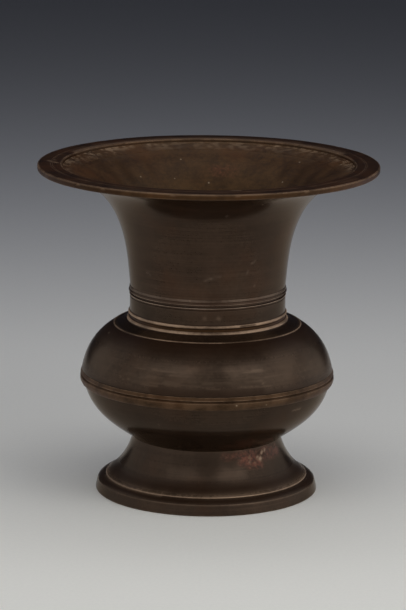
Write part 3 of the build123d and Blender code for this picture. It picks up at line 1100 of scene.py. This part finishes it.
# Down the dome a streak lies 1.3 mm farther out for every 3.2 mm that it lies lower
streak_drop = dice.uniform(-0.8, 1.4, streaks)
streak_rows = zip(
    dice.uniform(*streak_angles, streaks), streak_r + 1.3 * streak_drop, streak_z - 3.2 * streak_drop,
    dice.uniform(*streak_lengths, streaks), dice.uniform(*streak_and_glint_strengths, streaks))
belly_marks = strokes("soiled", [
    ((25, 35.9, 82.5), (36, 35.9, 82.5), 0.8, 0.9, 0.5),
    # Painted shade along the front of the corner above the girdle
    ((-25, belly_radius, corner_z), (25, belly_radius, corner_z), 3.0, 0.7),
]) + strokes("scuffed", [
    ((-2.2, collar_radius, 86.6), (-1.8, collar_radius, 86.4), 0.8, 0.12),
    ((7.7, collar_radius, 86.6), (8.4, collar_radius, 86.4), 0.8, 0.16),
]) + strokes("scuffed", [
    ((a, r, z), (a + long, r, z - 0.2), 0.5, strength) for a, r, z, long, strength in streak_rows
]) + strokes("scuffed", [
    ((a, r, z), (a + 0.6, r, z - 0.3), 0.5, 0.16, 0.03) for a, r, z in pit_places
])


def belly_finish(r, z, normal_r, normal_z):
    """As cast inside, and matt on the narrow face between the mouldings."""
    return np.where(normal_r < -0.02, 1, np.where((z > lower_top - 0.2) & (z < upper_bottom), 2, 0))


def belly_rub(r, z):
    """A faint rubbed band on both sides of the shoulder's fine line."""
    return shoulder_line_rub * (np.abs(r - shelf_end[0]) < shoulder_line_width) * (np.abs(z - shoulder_z) < 1)


def belly_painted_shade(r, z):
    """Painted shade in the corner above the girdle, and on the shoulder under the mouldings."""
    corner = corner_shade * bell(z - girdle_top, corner_reach) * (r > seat_radius)
    shoulder = shoulder_shade * bell(z - shoulder_z, shoulder_reach) * (r > shoulder_radius)
    return np.maximum(corner, shoulder)


upper_belly = turn_piece(
    "upper_belly_shell", np.vstack(upper_section)[::-1],
    [dark_bronze, bronze_inside, handled_bronze], inside=belly_finish, segments=440, reach=0.24, finest=0.14,
    coarsest=lambda r, z: np.where(r > socket_radius + 0.5, 0.7, 1.5),
    wear=by_height(
        0.0, (girdle_top + 1, 3.2), (shoulder_z - 1, 1.6), (shoulder_z + 1, 3.2), (collar_z + 1, 0.0)),
    grime=by_height(1.2, (lower_top - 0.6, 0.3), (lower_top + 0.6, 1.2)), rub=belly_rub, soil=belly_painted_shade,
    swells=[(26.0, 0.05, 51), (8.0, 0.015, 52)], ridges=(2.9, 0.005), marks=belly_marks,
)
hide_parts("upper_belly")

# %% [markdown]
# The girdle is a separate hoop shrunk over the seam where the two bellies meet. It stands proud of both, so
# it is the most rubbed piece of all, and its surface is lumpy from the file that fitted it. The groove's
# upper lip is rubbed most, and the hoop's lower half least. Bump in the shader could stand for the lumps,
# but in the mesh they also break up the light along its edges.

# %% Girdle
girdle_step = 0.3
girdle_roll = 0.4
girdle_edge = 0.3
girdle_drop = 1.2
girdle_rub = 0.1
groove_rise = 0.4
girdle_groove_depth = 0.45
girdle_groove_width = 0.8
face_radius = belly_radius + girdle_step
girdle_groove_r = face_radius - girdle_groove_depth
groove_z = seam_z + groove_rise
groove_low = groove_z - girdle_groove_width / 2
groove_high = groove_z + girdle_groove_width / 2
lower_lip = (face_radius + girdle_edge, groove_low - girdle_edge)
upper_lip = (face_radius + girdle_edge, groove_high + girdle_edge / 2)
upper_edge = (face_radius + girdle_edge / 2, girdle_top - girdle_drop)
hoop_start = (seat_radius, (girdle_bottom + girdle_top) / 2)
girdle = turn_piece(
    "belly_girdle_hoop",
    [
        hoop_start, (seat_radius, girdle_bottom),
        bead((girdle_groove_r, girdle_bottom), lower_lip, girdle_roll),
        (face_radius, groove_low), (girdle_groove_r, groove_z), upper_lip, upper_edge,
        (belly_radius, girdle_top), (seat_radius, girdle_top), hoop_start,
    ],
    [handled_bronze], segments=800, reach=0.1, finest=0.1, coarsest=0.5,
    wear=by_height(1.6, (groove_z, 3.0), (groove_high + 0.6, 1.8)), grime=1.6, rub=girdle_rub,
    swells=[(5.0, 0.06, 61), (1.6, 0.03, 62)],
)
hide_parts("belly_girdle")

# %% [markdown]
# The lower belly is a bowl with a spigot that goes up into the dome and a tenon that goes down into the
# foot. Its outside mirrors the floor and stays smooth, with a few casting pits. Its inside holds the water.
# Its section ends on the axis at both ends, so it is the one piece that the lathe closes at its poles.

# %% Lower belly
floor_thickness = 3.0
spigot_wall = 2.0
spigot_top = high("lower_belly")
spigot_inner = belly_spigot_radius - spigot_wall
bowl_height = seam_z - waist_z
floor_z = waist_z + floor_thickness
bowl_waist_slope, bowl_edge_slope, inner_bowl_edge_slope, floor_slope = 34.0, 79.0, 83.0, 12.0
bowl_waist_pull, bowl_edge_pull, inner_bowl_pull = [hold * bowl_height for hold in (0.39, 0.46, 0.42)]
bowl_pits = (
    (-24.2, 51.8, 40.8), (11, 48.4, 36.5), (-35.9, 45.6, 33.9), (52, 50.2, 38.6), (-80, 51, 39.6))
bowl_marks = strokes("scuffed", [
    ((a, r, z), (a + 0.3, r, z), 0.5, 0.22, 0.1) for a, r, z in bowl_pits
]) + strokes("scuffed", [
    ((44.5, 54.4, 45.9), (49.9, 54.5, 46.0), 0.6, 0.2),
])


def bowl_finish(r, z, normal_r, normal_z):
    """As cast inside, on the floor and under the tenon, polished elsewhere."""
    return (normal_r < 0) | (normal_z > 0.5) | ((r < tenon_radius) & (normal_z < -0.5))


bowl = turn_piece(
    "lower_belly_bowl",
    [
        (0, waist_z), (tenon_inner, waist_z), (tenon_inner, tenon_z), (tenon_radius, tenon_z),
        (tenon_radius, waist_z),
        sweep((waist_radius, waist_z), bowl_waist_slope, bowl_waist_pull,
              (seat_radius, girdle_bottom), bowl_edge_slope, bowl_edge_pull),
        (seat_radius, seam_z), (belly_spigot_radius, seam_z), (belly_spigot_radius, spigot_top),
        (spigot_inner, spigot_top),
        sweep((spigot_inner, girdle_bottom), inner_bowl_edge_slope - 180, inner_bowl_pull,
              (tenon_inner, floor_z), floor_slope - 180, inner_bowl_pull),
        (0, floor_z),
    ],
    [dark_bronze, bronze_inside], inside=bowl_finish, closed=False, wear=0.3, grime=0.5,
    swells=[(26.0, 0.05, 71), (8.0, 0.015, 72)], ridges=(2.9, 0.005), marks=bowl_marks,
)
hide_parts("lower_belly")

# %% [markdown]
# The foot is a hollow flare on a thick ring, cast hollow to save metal and weight. The arris above the ring
# is rubbed to a bright line. As for the upper belly, the section is drawn outwards and down and then
# reversed.

# %% Section of the foot
ring_face_height = 4.8
ring_face_lean = 1.1
base_edge = 0.3
arris_height = 7.3
arris_inset = 4.7
arris_step = 0.4
foot_ring_width = 4.5
foot_waist_slope, arris_slope, inner_foot_slope, inner_socket_slope = 78.0, 29.0, 32.0, 76.0
sweep_height = waist_z - arris_height
foot_waist_pull, foot_pull = 0.44 * sweep_height, 0.33 * sweep_height
arris = (foot_radius - arris_inset, arris_height)
step = (arris[0] - arris_step / 2, arris_height - arris_step)
face_top = (foot_radius - ring_face_lean, ring_face_height)
ring_inner = foot_radius - foot_ring_width
inner_end = (ring_inner - base_edge, ring_face_height / 2)
socket_bottom = (foot_socket_radius, tenon_z - 2 * solder_fillet)
socket_middle = (foot_socket_radius, (socket_bottom[1] + waist_z) / 2)
foot_section = [
    socket_middle, (foot_socket_radius, waist_z),
    sweep((waist_radius, waist_z), -foot_waist_slope, foot_waist_pull, arris, -arris_slope, foot_pull),
    bead(step, face_top, -arris_step),
    (foot_radius, base_edge), (foot_radius - base_edge, 0), (ring_inner, 0),
    sweep(inner_end, 180 - inner_foot_slope, foot_pull, socket_bottom, 180 - inner_socket_slope, foot_pull),
    socket_middle,
]
print("foot flare", round(sweep_height, 1), "mm high over the arris")

# %% [markdown]
# At the front right of the foot the skin has broken through to red oxide, a patch the size of a thumb, with
# grey-green grains that stand up from it and dark pores between them. The patch is a few broad strokes that
# the finish breaks up, and each larger grain is a small stroke of its own, raised by a tenth of a
# millimetre.

# %% Foot
rubbed_reach = 2.6
rubbed_strength = 0.42
step_reach = 0.4
step_strength = 0.3
# Painted shade in the flare's hollow and on the roll under the step
hollow_shade = 0.8
hollow_z = 10.0
hollow_reach = 2.7
roll_shade = 0.6
roll_z = (step[1] + face_top[1]) / 2 + 0.2
roll_reach = 0.9
foot_marks = strokes("corroded", [
    ((29, 34.9, 21.6), (38, 35.0, 21.0), 3.8, 1.0, 0.05),
    ((33, 35.8, 19.2), (41, 35.9, 18.9), 2.8, 0.95, 0.05),
    ((14, 34.3, 22.8), (26, 34.4, 22.4), 2.4, 0.55, 0.03),
    ((48, 34.6, 22.0), (66, 34.8, 21.4), 3.4, 0.75, 0.03),
]) + strokes("scuffed", [
    ((-82, *arris), (-26, *arris), 1.1, 0.4),
    ((43, 35.3, 20.1), (44, 35.2, 20.4), 0.7, 1.0, -0.1),
    ((41, 35.0, 21.2), (41.6, 35.0, 21.4), 0.5, 0.6, -0.08),
    ((46, 34.5, 22.4), (47, 34.4, 23.0), 0.6, 0.8, -0.1),
    ((49.5, 34.3, 23.0), (50.5, 34.2, 23.6), 0.5, 0.7, -0.08),
    ((33, 35.6, 19.6), (33.5, 35.6, 19.8), 0.5, 0.35, -0.05),
]) + strokes("soiled", [
    ((42, 34.5, 22.4), (45.5, 34.3, 23.4), 0.8, 0.8),
    ((45, 35.0, 21.0), (48.5, 34.6, 22.2), 0.7, 0.8),
    ((39.5, 34.8, 21.6), (41, 34.5, 22.6), 0.6, 0.6),
])


def foot_rub(r, z):
    """The broad rubbed band just above the arris, and a narrow one on the step below it."""
    above = bell(arris[0] - r, rubbed_reach) * (r < arris[0]) * (z > arris_height - 0.1)
    below = bell(arris_height - z, step_reach) * (z <= arris_height) * (r > step[0] - 0.5)
    return np.maximum(rubbed_strength * above, step_strength * below)


def foot_painted_shade(r, z):
    """Painted shade in the flare's hollow, and on the roll below the step."""
    hollow = hollow_shade * bell(z - hollow_z, hollow_reach) * np.clip(z - arris_height - 0.4, 0, 1)
    roll = roll_shade * bell(z - roll_z, roll_reach) * (r > step[0] - 0.5)
    return np.maximum(hollow, roll) * (r > foot_socket_radius + 1)


# Hands rub the arris most, and hardly reach the ring or the waist
foot = turn_piece(
    "flared_foot", np.vstack(foot_section)[::-1], [dark_bronze, bronze_inside],
    inside=lambda r, z, normal_r, normal_z: normal_r < -0.02, segments=600, reach=0.26, finest=0.14,
    coarsest=lambda r, z: np.where(r > foot_socket_radius + 1, 0.6, 1.5),
    wear=by_height(0.2, (arris_height - 0.8, 0.55), (arris_height + 0.8, 0.2)), grime=0.6,
    rub=foot_rub, soil=foot_painted_shade,
    swells=[(24.0, 0.05, 81), (8.0, 0.015, 82)], ridges=(2.9, 0.005), marks=foot_marks,
)
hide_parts("foot")

# %% [markdown]
# Under the foot the solder round the tenon shows as a lumpy fillet. It was run in with the vessel upside
# down, so it is smooth in swells with a few grains, and nobody ever cleaned it. Small spheres on a ring
# would give lumps too, but swells keep the fillet one skin.

# %% Foot solder
fillet_top = tenon_z - 0.01
fillet_film = 0.15


def fillet_crust(theta, r, z):
    """A thin film and lumps, on the fillet alone."""
    return fillet_film * (z < fillet_top), 1.0 * (z < fillet_top)


foot_solder = turn_piece(
    "foot_solder_fillet",
    [
        (tenon_radius - solder_fillet, tenon_z), (foot_socket_radius, tenon_z - solder_fillet),
        (foot_socket_radius, waist_z), (tenon_radius, waist_z), (tenon_radius, tenon_z),
        (tenon_radius - solder_fillet, tenon_z),
    ],
    [solder], segments=600, reach=0.0, finest=0.12, coarsest=lambda r, z: np.where(z < fillet_top, 0.2, 1.5),
    wear=0.0, grime=0.0, grit=(fillet_crust, 2.6, 0.3, 91),
)
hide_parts("foot_solder")

# %% [markdown]
# The other two solder sleeves are closed inside their joints and never seen, so they keep their plain shape
# and take only the solder's finish.

# %% Hidden solder sleeves
for node in ("neck_solder", "belly_solder"):
    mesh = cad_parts[node].data
    mesh.materials.clear()
    mesh.materials.append(solder)
print("solder sleeves in their joints: 2")
